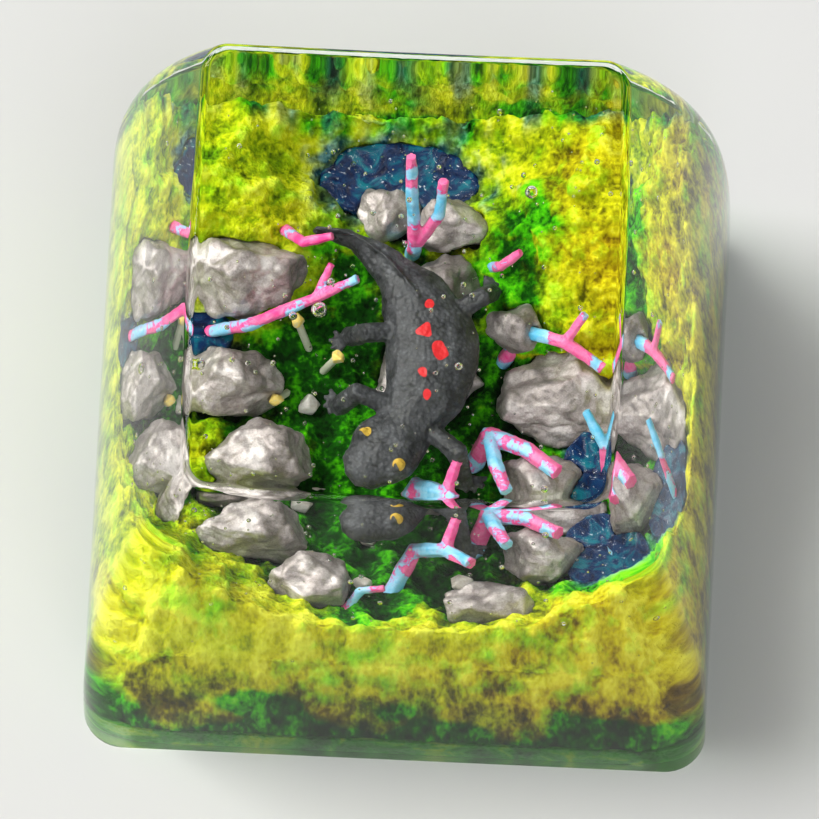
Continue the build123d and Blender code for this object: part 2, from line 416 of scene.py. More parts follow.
@dataclass(frozen=True)
class TwigFinish:
    """Hand-painted twigs, pink and light blue with lilac where the paints meet.

    Attributes:
        name: The material's name.
        shift: Moves the paint's edge, positive for more pink.
    """

    name: str
    shift: float
    paints: Stops = (
        (0.0, 0.84, 0.045, 0.27),
        (0.36, 0.86, 0.20, 0.42),
        (0.47, 0.84, 0.045, 0.27),
        (0.53, 0.40, 0.38, 0.70),
        (0.62, 0.33, 0.62, 0.84),
        (1.0, 0.10, 0.47, 0.74),
    )
    bands: Grain = Grain(1.15, 1.5, 0.5, 0.4)
    dabs: Grain = Grain(0.24, 3.0, 0.65, 0.8)
    dab_tone: float = 0.13
    band_relief: float = 0.3
    relief: float = 0.03

    def material(self) -> bpy.types.Material:
        """Makes the material.

        Returns:
            The material.
        """
        shader = Shader(self.name)
        bands, dabs = shader.grain(self.bands), shader.grain(self.dabs)
        tone = shader.sum(bands, shader.centred(dabs), self.dab_tone)
        tone = shader.stretch(tone, *(limit + self.shift for limit in NOISE_RANGE))
        relief = shader.bump(shader.sum(dabs, bands, self.band_relief), self.relief)
        shader.finish(Base_Color=shader.ramp(tone, self.paints), Normal=relief)
        return shader.finish(Roughness=0.42, Specular_IOR_Level=0.45)


@dataclass(frozen=True)
class ClayFinish:
    """Dark grey modelling clay with red spots and amber eyes."""

    greys: Stops = (
        (0.3, 0.014, 0.015, 0.017),
        (0.52, 0.046, 0.048, 0.053),
        (0.78, 0.13, 0.135, 0.145),
    )
    red: Four = (0.62, 0.012, 0.016, 1.0)
    bead: Four = (0.62, 0.40, 0.05, 1.0)
    spot_edge: Pair = (0.35, 0.6)
    eye_edge: Pair = (0.4, 0.6)
    clouds: Grain = Grain(0.5, 5.0, 0.65)
    wart_size: float = 0.13
    wart_range: Pair = (0.0, 0.6)
    wart_tone: float = 0.16
    wart_relief: float = -0.7
    gloss: Pair = (0.42, 0.62)
    relief: float = 0.035

    def material(self) -> bpy.types.Material:
        """Makes the material from what is painted on the newt.

        Returns:
            The material.
        """
        shader = Shader("grey_clay")
        clouds, warts = shader.grain(self.clouds), shader.cells(self.wart_size)
        uneven = shader.stretch(warts, *self.wart_range, 0.5, -0.5)
        body = shader.ramp(shader.sum(clouds, uneven, self.wart_tone), self.greys)
        spots = shader.stretch(shader.painted("newt_spot"), *self.spot_edge)
        eyes = shader.stretch(shader.painted("newt_eye"), *self.eye_edge)
        body = shader.mix(eyes, shader.mix(spots, body, self.red), self.bead)
        gloss = shader.stretch(clouds, *NOISE_RANGE, *self.gloss)
        relief = shader.bump(shader.sum(clouds, warts, self.wart_relief), self.relief)
        shader.finish(Base_Color=body, Normal=relief)
        return shader.finish(Roughness=gloss, Specular_IOR_Level=0.4)


@dataclass(frozen=True)
class SproutFinish:
    """Pale stalks that turn to yellow buds."""

    paints: Stops = ((0.75, 0.58, 0.60, 0.46), (0.95, 0.84, 0.62, 0.14))
    specks: Grain = Grain(0.12, 3.0, 0.55)
    speck_tone: float = 0.3
    relief: float = 0.03

    def material(self) -> bpy.types.Material:
        """Makes the material from what is painted on the sprouts.

        Returns:
            The material.
        """
        shader = Shader("sprout_paint")
        specks = shader.grain(self.specks)
        tip = shader.sum(shader.painted("sprout_tip"), shader.centred(specks), self.speck_tone)
        shader.finish(Base_Color=shader.ramp(tip, self.paints), Roughness=0.5)
        return shader.finish(Normal=shader.bump(specks, self.relief))


@dataclass(frozen=True)
class PoolFinish:
    """Deep blue resin with teal clouds and white flecks."""

    water: Stops = (
        (0.35, 0.002, 0.005, 0.028),
        (0.5, 0.003, 0.022, 0.085),
        (0.66, 0.003, 0.135, 0.19),
    )
    fleck: Four = (0.78, 0.84, 0.90, 1.0)
    fleck_edge: Pair = (0.62, 0.70)
    clouds: Grain = Grain(0.7, 4.0, 0.6, 1.2)
    flecks: Grain = Grain(0.33, 5.0, 0.7, 2.5)
    relief: float = 0.08

    def material(self) -> bpy.types.Material:
        """Makes the material.

        Returns:
            The material.
        """
        shader = Shader("pool_resin")
        clouds = shader.grain(self.clouds)
        flecks = shader.stretch(shader.grain(self.flecks), *self.fleck_edge)
        body = shader.mix(flecks, shader.ramp(clouds, self.water), self.fleck)
        shader.finish(Base_Color=body, Normal=shader.bump(clouds, self.relief))
        return shader.finish(Roughness=0.14, Specular_IOR_Level=0.3)


@dataclass(frozen=True)
class BackingFinish:
    """Opaque dark green resin poured in from below."""

    greens: Stops = (
        (0.32, 0.005, 0.045, 0.002),
        (0.52, 0.022, 0.20, 0.004),
        (0.68, 0.26, 0.36, 0.006),
    )
    swirl: Grain = Grain(1.1, 5.0, 0.62, 0.9)
    specks: Grain = Grain(0.12, 2.0, 0.55)
    gloss: Pair = (0.22, 0.36)
    relief: float = 0.01

    def material(self) -> bpy.types.Material:
        """Makes the material.

        Returns:
            The material.
        """
        shader = Shader("backing_resin")
        specks = shader.grain(self.specks)
        body = shader.ramp(shader.grain(self.swirl), self.greens)
        gloss = shader.stretch(specks, *NOISE_RANGE, *self.gloss)
        relief = shader.bump(specks, self.relief)
        return shader.finish(Base_Color=body, Roughness=gloss, Normal=relief)


@dataclass
class Piece:
    """The mesh work that the pieces share. Meshes are shaped in millimetres.

    Attributes:
        nodes: The frame's objects by node name.
        voxel: Size of a face of an evened skin.
        smoothing: Number of its smoothing passes.
        merge: Distance within which a copy's vertices are merged.
        upright: How level a line has to be for a tube to lie on its side.
    """

    nodes: dict[str, bpy.types.Object]
    voxel: float = 0.1
    smoothing: int = 3
    merge: float = 0.0005
    upright: float = 0.05

    def blank(self, node: str) -> BMesh:
        """Copies a node's mesh, merged and in millimetres.

        Args:
            node: Name of the frame's node.

        Returns:
            The copy.
        """
        form = bmesh.new()
        form.from_mesh(self.nodes[node].data)
        bmesh.ops.scale(form, vec=(1.0 / MM,) * 3, verts=form.verts)
        bmesh.ops.remove_doubles(form, verts=form.verts, dist=self.merge)
        return form

    def even(self, form: BMesh) -> BMesh:
        """Gives a closed form an even, smoothed skin of small faces, with its overlaps fused.

        Args:
            form: The form, which is freed.

        Returns:
            The new form.
        """
        mesh = as_mesh(form, "blank")
        holder = show("blank", mesh)
        voxels = holder.modifiers.new("voxels", "REMESH")
        voxels.mode = "VOXEL"
        voxels.voxel_size = self.voxel
        graph = bpy.context.evaluated_depsgraph_get()
        skin = bpy.data.meshes.new_from_object(holder.evaluated_get(graph))
        made = bmesh.new()
        made.from_mesh(skin)
        bpy.data.objects.remove(holder)
        bpy.data.meshes.remove(mesh)
        bpy.data.meshes.remove(skin)
        axes = {f"use_axis_{axis}": True for axis in "xyz"}
        for _ in range(self.smoothing):
            bmesh.ops.smooth_vert(made, verts=made.verts, factor=0.5, **axes)
        return made

    @staticmethod
    def raise_skin(form: BMesh, height: Callable[[Vector, Vector], float]) -> None:
        """Moves a form's skin along its normals.

        Args:
            form: The form to change.
            height: Gives the move in millimetres from a point and its normal.
        """
        form.normal_update()
        moves = [vert.normal * height(vert.co, vert.normal) for vert in form.verts]
        for vert, move in zip(form.verts, moves):
            vert.co += move

    def tube(
        self, form: BMesh, points: Sequence[Vector], radii: Sequence[Pair], sides: int
    ) -> None:
        """Adds a closed tube whose oval section follows a line.

        Args:
            form: The form that gets the tube.
            points: The line's points.
            radii: Half width and half height at each point.
            sides: Number of sides.
        """
        made = bmesh.ops.create_circle(form, cap_ends=False, radius=1.0, segments=sides)
        first = ring = list(made["verts"])
        for step, (point, (wide, high)) in enumerate(zip(points, radii)):
            ahead = points[min(step + 1, len(points) - 1)]
            along = (ahead - points[max(step - 1, 0)]).normalized()
            across = along.cross(UP)
            if across.length > self.upright:
                across.normalize()
            else:
                across = Vector((1.0, 0.0, 0.0))
            upward = across.cross(along).normalized()
            if step:
                ring = self.extrude(form, ring)
            for turn, vert in enumerate(ring):
                angle = math.tau * turn / sides
                sideways = across * (wide * math.cos(angle))
                vert.co = point + sideways + upward * (high * math.sin(angle))
        for loop in (first, ring):
            bmesh.ops.contextual_create(form, geom=self.loop_edges(loop))

    @staticmethod
    def loop_edges(ring: Sequence[BMVert]) -> list[BMEdge]:
        """Finds the edges of a closed ring of vertices.

        Args:
            ring: The vertices in order.

        Returns:
            The edges in the same order.
        """
        edges = []
        for vert, after in zip(ring, [*ring[1:], ring[0]]):
            edges.append(next(edge for edge in vert.link_edges if edge.other_vert(vert) is after))
        return edges

    def extrude(self, form: BMesh, ring: Sequence[BMVert]) -> list[BMVert]:
        """Extrudes a closed ring of vertices in place.

        Args:
            form: The form that holds the ring.
            ring: The vertices in order.

        Returns:
            The new vertices in the same order.
        """
        grown = bmesh.ops.extrude_edge_only(form, edges=self.loop_edges(ring))["geom"]
        fresh = {item for item in grown if isinstance(item, BMVert)}
        others = [[edge.other_vert(vert) for edge in vert.link_edges] for vert in ring]
        return [next(vert for vert in near if vert in fresh) for near in others]

    @staticmethod
    def publish(
        form: BMesh, name: str, material: bpy.types.Material, slot: Slot, *nodes: str
    ) -> None:
        """Turns a form into a piece that stands for nodes of the frame.

        Args:
            form: The form in millimetres, which is freed.
            name: The piece's name.
            material: The piece's material.
            slot: The record's material slot; not used.
            nodes: The frame's nodes that the piece stands for.
        """
        bmesh.ops.scale(form, vec=(MM,) * 3, verts=form.verts)
        for face in form.faces:
            face.smooth = True
        piece = show(name, as_mesh(form, name))
        piece.data.materials.append(material)
        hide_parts(*nodes)
        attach(piece, "root")
        LOG.info("%s: %d faces", name, len(piece.data.polygons))


@dataclass(frozen=True)
class RimSpot:
    """A place on a rounded square's outline.

    Attributes:
        corner: Number of the corner whose arc it is on or follows.
        turn: Angle on that arc, from 0 to 1.
        along: Share of the straight side after the arc, or 0 on the arc.
    """

    corner: int
    turn: float
    along: float


@dataclass(frozen=True)
class KeycapForm:
    """The keycap's outer form in millimetres: convex walls and a tilted, dished top."""

    base_half: float = 9.1
    side_draw: float = 3.0
    front_draw: float = 3.3
    back_draw: float = 2.3
    side_curve: float = 2.6
    front_curve: float = 1.9
    back_curve: float = 1.8
    front_height: float = 13.0
    back_height: float = 16.0
    base_radius: float = 1.2
    top_radius: float = 0.75
    dish_radius: float = 75.0
    corner_steps: int = 10
    side_steps: int = 18
    rim_range: Pair = (0.9, 1.03)
    rim_halvings: int = 30

    def spots(self) -> list[RimSpot]:
        """Lists the places round the outline, anticlockwise from the front right corner.

        Returns:
            The places in order.
        """
        turns = [step / self.corner_steps for step in range(self.corner_steps + 1)]
        sides = [step / self.side_steps for step in range(1, self.side_steps)]
        found = []
        for corner in range(4):
            found += [RimSpot(corner, turn, 0.0) for turn in turns]
            found += [RimSpot(corner, 1.0, along) for along in sides]
        return found

    @staticmethod
    def outline(spot: RimSpot, half: float, front: float, back: float, radius: float) -> Pair:
        """Finds a spot on one rounded outline.

        Args:
            spot: The place round the outline.
            half: Half the outline's width.
            front: The outline's front edge.
            back: The outline's back edge.
            radius: Corner radius.

        Returns:
            The spot's x and y.
        """

        def on_arc(corner: int, turn: float) -> Pair:
            """Finds a point on a corner's arc.

            Args:
                corner: Number of the corner.
                turn: Angle on its arc, from 0 to 1.

            Returns:
                The point's x and y.
            """
            angle = math.radians(90.0 * (corner - 1 + turn))
            middle_x = (half - radius) * (1 if corner in (0, 1) else -1)
            middle_y = back - radius if corner in (1, 2) else front + radius
            return middle_x + radius * math.cos(angle), middle_y + radius * math.sin(angle)

        here = on_arc(spot.corner, spot.turn)
        if not spot.along:
            return here
        after = on_arc((spot.corner + 1) % 4, 0.0)
        return tuple(a + (b - a) * spot.along for a, b in zip(here, after))

    def edges(self, share: float) -> Triple:
        """Finds the edges of a section.

        Args:
            share: Share of the way up, 0 at the foot.

        Returns:
            Its half width, front edge and back edge.
        """
        half = self.base_half - self.side_draw * share**self.side_curve
        front = -self.base_half + self.front_draw * share**self.front_curve
        back = self.base_half - self.back_draw * share**self.back_curve
        return half, front, back

    def wall(self, spot: RimSpot, share: float) -> Vector:
        """Finds a point on the outer wall.

        Args:
            spot: The place round the outline.
            share: Share of the way up, 0 at the foot.

        Returns:
            The point.
        """
        half, front, back = self.edges(share)
        radius = self.base_radius + (self.top_radius - self.base_radius) * share
        x, y = self.outline(spot, half, front, back, radius)
        rise = self.back_height - self.front_height
        return Vector((x, y, share * (self.front_height + rise * (y - front) / (back - front))))

    def dish(self, x: float, y: float) -> float:
        """Finds how high the dished top is.

        Args:
            x: Place across.
            y: Place from front to back.

        Returns:
            The height.
        """
        half, front, back = self.edges(1.0)
        rise = self.back_height - self.front_height
        slope = math.atan2(rise, back - front)
        reach = math.hypot(half, math.hypot(back - front, rise) / 2.0)
        lift = math.sqrt(self.dish_radius**2 - reach**2)
        middle_y = (front + back) / 2.0 - math.sin(slope) * lift
        middle_z = (self.front_height + self.back_height) / 2.0 + math.cos(slope) * lift
        return middle_z - math.sqrt(self.dish_radius**2 - x * x - (y - middle_y) ** 2)

    def on_dish(self, point: Vector) -> Vector:
        """Drops a point on the dished top."""
        return Vector((point.x, point.y, self.dish(point.x, point.y)))

    def rim_share(self, spot: RimSpot) -> float:
        """Finds how far up the wall meets the dish, by halving.

        Args:
            spot: The place round the outline.

        Returns:
            The share of the way up.
        """
        low, high = self.rim_range
        for _ in range(self.rim_halvings):
            middle = (low + high) / 2.0
            point = self.wall(spot, middle)
            if point.z < self.dish(point.x, point.y):
                low = middle
            else:
                high = middle
        return low


@dataclass
class ResinBlock(Piece):
    """The clear casting: an outer skin, a hidden pocket for the garden, and small air bubbles.

    Attributes:
        wall_guard: Share of the wall where a ring keeps the shading flat beside the rim.
        dish_guard: Share of the dish where another does.
        pocket: Half width, corner radius and height of each ring of the pocket.
        big_bubbles: Place and radius of each large bubble.
    """

    form: KeycapForm = KeycapForm()
    finish: ResinFinish = ResinFinish()
    wall_steps: int = 44
    dish_steps: int = 16
    edge_round: float = 0.2
    edge_segments: int = 6
    wall_guard: float = 0.984
    dish_guard: float = 0.042
    pocket: tuple[Triple, ...] = (
        (8.5, 1.6, 0.0),
        (8.1, 1.4, 0.4),
        (7.5, 1.1, 1.2),
        (7.5, 1.1, 5.35),
    )
    bubble_seed: int = 41
    bubble_count: int = 800
    bubble_batch: int = 40
    bubble_small: float = 0.028
    bubble_large: float = 0.095
    bubble_half: float = 8.0
    bubble_levels: Pair = (2.0, 14.0)
    bubble_reach: float = 3.0
    bubble_gap: float = 0.03
    bubble_margin: float = 0.2
    bubble_sides: tuple[int, int] = (8, 5)
    big_detail: int = 3
    big_bubbles: tuple[Four, ...] = (
        (3.5, 4.4, 11.0, 0.20),
        (-6.1, -0.6, 8.4, 0.19),
        (-2.6, 0.9, 9.6, 0.24),
        (-3.4, 1.0, 8.6, 0.13),
        (-2.3, 1.7, 9.9, 0.11),
        (1.6, -0.9, 10.3, 0.12),
        (4.3, -4.2, 9.0, 0.11),
        (-6.6, -3.0, 6.6, 0.12),
    )

    def build(self) -> None:
        """Builds the block."""
        skin = self.skin()
        self.add_bubbles(skin, self.obstacles())
        material = self.finish.material()
        self.publish(skin, "resin_block", material, Slot.RESIN, "clear_resin_block")

    def grow(
        self, skin: BMesh, ring: Sequence[BMVert], points: Sequence[Vector]
    ) -> list[BMVert]:
        """Extrudes a ring to new points.

        Args:
            skin: The block's mesh.
            ring: The vertices in order.
            points: Where the new vertices go.

        Returns:
            The new vertices in the same order.
        """
        grown = self.extrude(skin, ring)
        for vert, point in zip(grown, points):
            vert.co = point
        return grown

    def skin(self) -> BMesh:
        """Makes the outer skin and the hidden pocket as one closed mesh.

        Returns:
            The mesh in millimetres.
        """
        skin = bmesh.new()
        spots = self.form.spots()
        tops = [self.form.rim_share(spot) for spot in spots]
        made = bmesh.ops.create_circle(skin, cap_ends=False, radius=1.0, segments=len(spots))
        foot = ring = made["verts"]
        for vert, spot in zip(foot, spots):
            vert.co = self.form.wall(spot, 0.0)
        shares = [step / self.wall_steps for step in range(1, self.wall_steps)]
        for share in (*shares, self.wall_guard, 1.0):
            walls = [self.form.wall(spot, top * share) for spot, top in zip(spots, tops)]
            ring = self.grow(skin, ring, walls)
        rim = self.loop_edges(ring)
        edge = [vert.co.copy() for vert in ring]
        middle = sum(edge, Vector()) / len(edge)
        shares = [step / self.dish_steps for step in range(1, self.dish_steps)]
        for share in (self.dish_guard, *shares):
            dished = [self.form.on_dish(point.lerp(middle, share)) for point in edge]
            ring = self.grow(skin, ring, dished)
        bmesh.ops.contextual_create(skin, geom=self.loop_edges(ring))
        ring, creases = foot, self.loop_edges(foot)
        for half, radius, height in self.pocket:
            flat = [self.form.outline(spot, half, -half, half, radius) for spot in spots]
            ring = self.grow(skin, ring, [Vector((x, y, height)) for x, y in flat])
            creases += self.loop_edges(ring)
        bmesh.ops.contextual_create(skin, geom=self.loop_edges(ring))
        bmesh.ops.recalc_face_normals(skin, faces=skin.faces)
        for crease in creases:
            crease.smooth = False
        bmesh.ops.bevel(
            skin,
            geom=rim,
            offset=self.edge_round,
            segments=self.edge_segments,
            profile=0.5,
            affect="EDGES",
            material=-1,
        )
        return skin

    def obstacles(self) -> BVHTree:
        """Gathers what is cast in, so that bubbles keep clear of it.

        Returns:
            A tree to find the nearest surface in.
        """
        everything = bmesh.new()
        for name, node in self.nodes.items():
            if name != "clear_resin_block":
                everything.from_mesh(node.data)
        bmesh.ops.scale(everything, vec=(1.0 / MM,) * 3, verts=everything.verts)
        tree = BVHTree.FromBMesh(everything)
        everything.free()
        return tree

    def add_bubbles(self, skin: BMesh, garden: BVHTree) -> None:
        """Adds air bubbles, most of them close to what is cast in.

        Args:
            skin: The block's mesh.
            garden: The surfaces of what is cast in.
        """
        dice = random.Random(self.bubble_seed)
        across = (-self.bubble_half, self.bubble_half)
        found = list(self.big_bubbles)
        while len(found) < self.bubble_count:
            spot = Vector([dice.uniform(*span) for span in (across, across, self.bubble_levels)])
            size = self.bubble_small
            size += (self.bubble_large - self.bubble_small) * dice.random() ** 3
            near, normal, _, gap = garden.find_nearest(spot)
            reach = dice.random() ** 3 * self.bubble_reach
            if gap < size + self.bubble_gap or gap > reach + self.bubble_margin:
                continue
            outside = (spot - near).dot(normal) >= 0.0
            if outside and self.in_clear(spot, size + self.bubble_margin):
                found.append((*spot, size))
        for start in range(0, len(found), self.bubble_batch):
            self.blow(skin, found[start : start + self.bubble_batch])

    def in_clear(self, spot: Vector, margin: float) -> bool:
        """Tells whether a point is inside the outer walls by a margin.

        Args:
            spot: The point.
            margin: The least distance to the skin.

        Returns:
            True if it is inside.
        """
        middle_height = (self.form.front_height + self.form.back_height) / 2.0
        half, front, back = self.form.edges(spot.z / middle_height)
        level = front + margin < spot.y < back - margin and abs(spot.x) < half - margin
        return level and spot.z < self.form.dish(spot.x, spot.y) - margin

    def blow(self, skin: BMesh, bubbles: Sequence[Four]) -> None:
        """Adds a batch of bubbles, whose faces look inwards because air is on that side.

        Args:
            skin: The block's mesh.
            bubbles: Place and radius of each bubble.
        """
        batch = bmesh.new()
        round_steps, height_steps = self.bubble_sides
        for x, y, z, radius in bubbles:
            detail = self.big_detail if radius > self.bubble_large else 1
            bmesh.ops.create_uvsphere(
                batch,
                u_segments=round_steps * detail,
                v_segments=height_steps * detail,
                radius=radius,
                matrix=Matrix.Translation((x, y, z)),
            )
        bmesh.ops.reverse_faces(batch, faces=batch.faces)
        mesh = as_mesh(batch, "bubbles")
        skin.from_mesh(mesh)
        bpy.data.meshes.remove(mesh)


@dataclass(frozen=True)
class MossToneAndPaintedLight:
    """How bright the moss is, from 0 in its darkest hollows, which are painted shade, to 1 on its
    crests, which are painted light.

    Attributes:
        foot: Tone at the foot of the skirt, where the painted shade is deepest.
        rise: Gain from there to the crests, over a height above a level, which lifts the painted
            shade towards painted light.
        level: Painted light where the moss lies level and faces up.
        painted_light_spot: Place and reach of the painted pool of light at the brightest corner,
            at the front left.
        right_mound_shade: Painted shade on the mound at the right, and half as much painted light
            at the left.
        bowl: Painted shade on the floor of the bowl, below a level.
    """

    foot: float = 0.37
    rise: float = 0.29
    foot_level: float = 0.8
    rise_height: float = 4.5
    lumps: float = 0.17
    front_lumps: float = 0.08
    clumps: float = 0.30
    level: float = 0.06
    # Painted light on the front crest and painted shade down the front skirt.
    front_crest_highlight: float = 0.16
    front_skirt_shade: float = 0.04
    painted_light_spot: Triple = (-5.6, -6.0, 2.4)
    painted_light_gain: float = 0.10
    right_mound_shade: float = 0.06
    bowl: float = 0.34
    bowl_level: float = 7.0
    # Tone on the back crest, with painted streaks that stand in for the blurred reflections in
    # the back wall.
    back: float = 0.55
    back_reflection_streaks: float = 0.35


@dataclass(frozen=True)
class MossGreens:
    """How green the moss is, from 0 where it is yellow to 1 where it is lush.

    Attributes:
        spots: Place and reach of each lush spot.
        foot: Gain along the foot, up to a level that wanders.
    """

    plain: float = 0.20
    drift: float = 0.32
    patches: float = 0.44
    spots: tuple[Triple, ...] = (
        (3.6, 4.2, 1.1),
        (-2.3, 3.6, 1.0),
        (0.0, -2.6, 2.6),
        (3.6, 0.2, 1.8),
        (-0.6, -5.3, 1.5),
        (-3.2, 0.4, 1.3),
        (2.2, 2.8, 0.9),
        (5.2, -4.6, 1.2),
    )
    spot: float = 0.75
    bowl: float = 0.5
    bowl_level: float = 6.6
    foot: float = 0.8
    foot_level: float = 2.9
    foot_wave: float = 1.8
    # Green on the back crest, with painted streaks that stand in for the blurred reflections in
    # the back wall.
    back: float = 0.3
    back_reflection_streaks: float = 0.5


@dataclass
class MossBank(Piece):
    """The bank of moss, with clumps on its skin and its colours, with painted light and shade,
    painted by place.

    Attributes:
        draw_out: Scale of the pattern's height, small because the moss hangs down.
        skirt_share: Share of the relief that is left on the skirt behind the walls.
        hidden_half: Half width of the underside, which stays plain.
        swell_level: Height of the swelling low on the back.
        dyed: Middle and half sizes of each pool, whose dye creeps into the moss.
    """

    finish: MossFinish = MossFinish()
    tone_and_light: MossToneAndPaintedLight = MossToneAndPaintedLight()
    greens: MossGreens = MossGreens()
    voxel: float = 0.125
    smoothing: int = 7
    draw_out: float = 0.35
    clump_pace: float = 1.3
    clump_octaves: int = 3
    clump_mean: float = 0.45
    clump_height: float = 0.2
    lump_layers: Layers = ((1.7, 1.2), (4.2, 0.5), (9.5, 0.3))
    lump_height: float = 0.25
    skirt_share: float = 0.36
    skirt_slope: float = 1.6
    hidden_half: float = 7.9
    hidden_level: float = 5.4
    swell_level: float = 1.6
    swell_reach: float = 0.7
    swell_height: float = 0.36
    bowl_half: float = 7.3
    dyed: tuple[Four, ...] = (
        (-0.5, 6.1, 2.5, 1.3),
        (-6.2, 0.9, 1.0, 0.9),
        (5.9, -3.0, 1.2, 1.7),
    )
    dye_reach: float = 1.25
    dye_fade: float = 0.5
    dye_layers: Layers = ((1.4, 0.5), (3.5, 0.3))

    def build(self) -> None:
        """Builds the bank."""
        bank = self.even(self.blank("moss_terrain"))
        self.raise_skin(bank, self.relief)
        self.paint(bank)
        self.publish(bank, "moss_bank", self.finish.material(), Slot.MOSS, "moss_terrain")

    def relief(self, spot: Vector, normal: Vector) -> float:
        """Gives the height of the clumps, less on the skirt behind the walls.

        Args:
            spot: A point of the skin.
            normal: The skin's normal there.

        Returns:
            The height in millimetres.
        """
        if spot.z < self.hidden_level and max(abs(spot.x), abs(spot.y)) < self.hidden_half:
            return 0.0
        share = self.skirt_share + (1.0 - self.skirt_share) * clamp(normal.z * self.skirt_slope)
        clumps, lumps = self.pattern(spot)
        away = (spot.z - self.swell_level) / self.swell_reach
        swell = self.swell_height * max(0.0, normal.y) * math.exp(-(away**2))
        return share * (self.clump_height * clumps + self.lump_height * lumps) + swell

    def pattern(self, spot: Vector) -> Pair:
        """Gives the pattern of the moss, drawn out downwards.

        Args:
            spot: A point of the skin.

        Returns:
            The broad clumps and the small lumps.
        """
        drawn = Vector((spot.x, spot.y, self.draw_out * spot.z))
        clumps = noise.turbulence(
            drawn * self.clump_pace, self.clump_octaves, False, noise_basis="PERLIN_ORIGINAL"
        )
        return clumps - self.clump_mean, layered(drawn, self.lump_layers)

    def paint(self, bank: BMesh) -> None:
        """Paints the moss's tone with its painted light and shade, how green and warm it is, and
        its dye and painted reflection runs, at each vertex.

        Args:
            bank: The bank's mesh.
        """
        bank.normal_update()
        kinds = ("tone", "green", "warm", "stain")
        layers = [bank.verts.layers.float.new(f"moss_{kind}") for kind in kinds]
        tone, green, warm, stain = layers
        for vert in bank.verts:
            vert[tone] = self.tone_and_painted_light(vert.co, vert.normal)
            vert[green] = self.lushness(vert.co, vert.normal)
            vert[warm] = self.warmth(vert.co)
            vert[stain] = self.dye_and_reflection_runs(vert.co)

    def tone_and_painted_light(self, spot: Vector, normal: Vector) -> float:
        """Gives the moss's tone with its painted light and shade: painted shade in its hollows
        and low on the skirt, and painted light on its crests.

        Args:
            spot: A point of the skin.
            normal: The skin's normal there.

        Returns:
            The tone, with its painted light and shade, to paint.
        """
        tone_and_light = self.tone_and_light
        clumps, lumps = self.pattern(spot)
        height = clamp((spot.z - tone_and_light.foot_level) / tone_and_light.rise_height)
        front = clamp((-5.0 - spot.y) / 2.0)
        # Painted shade low on the skirt and in the hollows between clumps and lumps, painted
        # light on the crests and where the moss faces up.
        value = tone_and_light.foot + tone_and_light.rise * height + tone_and_light.clumps * clumps + tone_and_light.level * normal.z
        value += (tone_and_light.lumps + tone_and_light.front_lumps * front) * lumps
        # Painted light on the front crest and painted shade down the front skirt.
        value += front * (tone_and_light.front_crest_highlight * height**3 - tone_and_light.front_skirt_shade)
        # A painted pool of light at the front left corner.
        value += tone_and_light.painted_light_gain * hill(spot, *tone_and_light.painted_light_spot)
        # Painted shade on the right mound and painted light on the left one.
        value -= tone_and_light.right_mound_shade * clamp(spot.x / 4.0, -0.5) * clamp(spot.y / 2.0)
        # Painted shade on the floor of the bowl.
        if self.in_bowl(spot):
            value -= tone_and_light.bowl * clamp(tone_and_light.bowl_level - spot.z)
        # On the back crest, painted streaks that stand in for the blurred reflections in the back
        # wall.
        back = tone_and_light.back + tone_and_light.back_reflection_streaks * self.reflection_streak(spot)
        return value + self.back_rim(spot) * (back - value)

    @staticmethod
    def back_rim(spot: Vector) -> float:
        """Tells how far a point is on the crest along the back, less down the skirt."""
        return clamp((spot.y - 7.0) / 0.5) * clamp((spot.z - 2.0) / 3.0)

    def in_bowl(self, spot: Vector) -> bool:
        """Tells whether a point is in the bowl, clear of the skirt."""
        return max(abs(spot.x), abs(spot.y)) < self.bowl_half

    @staticmethod
    def hanging(spot: Vector, across: float, row: float, down: float) -> float:
        """Gives noise that hangs in streaks, by its pace across and down and its row."""
        return noise.noise(Vector((spot.x * across, row, spot.z * down)))

    def reflection_streak(self, spot: Vector) -> float:
        """Gives the painted streaks down the back at a point, which stand in for the blurred
        reflections in the back wall.
        """
        return self.hanging(spot, 0.9, 3.0, 0.12) + 0.6 * self.hanging(spot, 2.6, 8.0, 0.2)

    def lushness(self, spot: Vector, normal: Vector) -> float:
        """Gives how green the moss is, most on the low floor and along the foot.

        Args:
            spot: A point of the skin.
            normal: The skin's normal there.

        Returns:
            The greenness to paint.
        """
        greens = self.greens
        drift = noise.noise(spot * 0.45 + Vector((7.0, 3.0, 1.0)))
        patches = noise.noise(spot * 1.3 + Vector((2.0, 9.0, 4.0)))
        value = greens.plain + greens.drift * drift + greens.patches * patches
        for lush_spot in greens.spots:
            value += greens.spot * hill(spot, *lush_spot) * clamp(normal.z * 2.0)
        if self.in_bowl(spot):
            value += greens.bowl * clamp((greens.bowl_level - spot.z) / 0.5)
        foot = greens.foot_level + greens.foot_wave * drift
        value += greens.foot * clamp((foot - spot.z) / 1.2)
        # On the back crest, green streaks painted to stand in for the blurred reflections in the
        # back wall.
        back = greens.back - greens.back_reflection_streaks * self.reflection_streak(spot)
        return value + self.back_rim(spot) * back

    def dye_and_reflection_runs(self, spot: Vector) -> float:
        """Gives how far the pools' dye has crept into the moss, and the painted runs on the back
        crest that stand in for the blurred reflections in the back wall.

        Args:
            spot: A point of the skin.

        Returns:
            The stain to paint, from 0 to 1.
        """
        ragged = layered(spot, self.dye_layers)
        value = 0.0
        for x, y, wide, deep in self.dyed:
            away = math.hypot((spot.x - x) / wide, (spot.y - y) / deep)
            value = max(value, min(1.0, (self.dye_reach + ragged - away) / self.dye_fade))
        # Runs on the back crest painted to stand in for the blurred reflections in the back wall.
        runs = self.hanging(spot, 1.3, 5.0, 0.15) + 0.5 * self.hanging(spot, 3.1, 1.0, 0.25)
        return max(value, self.back_rim(spot) * clamp(1.6 * runs, 0.0, 0.75))

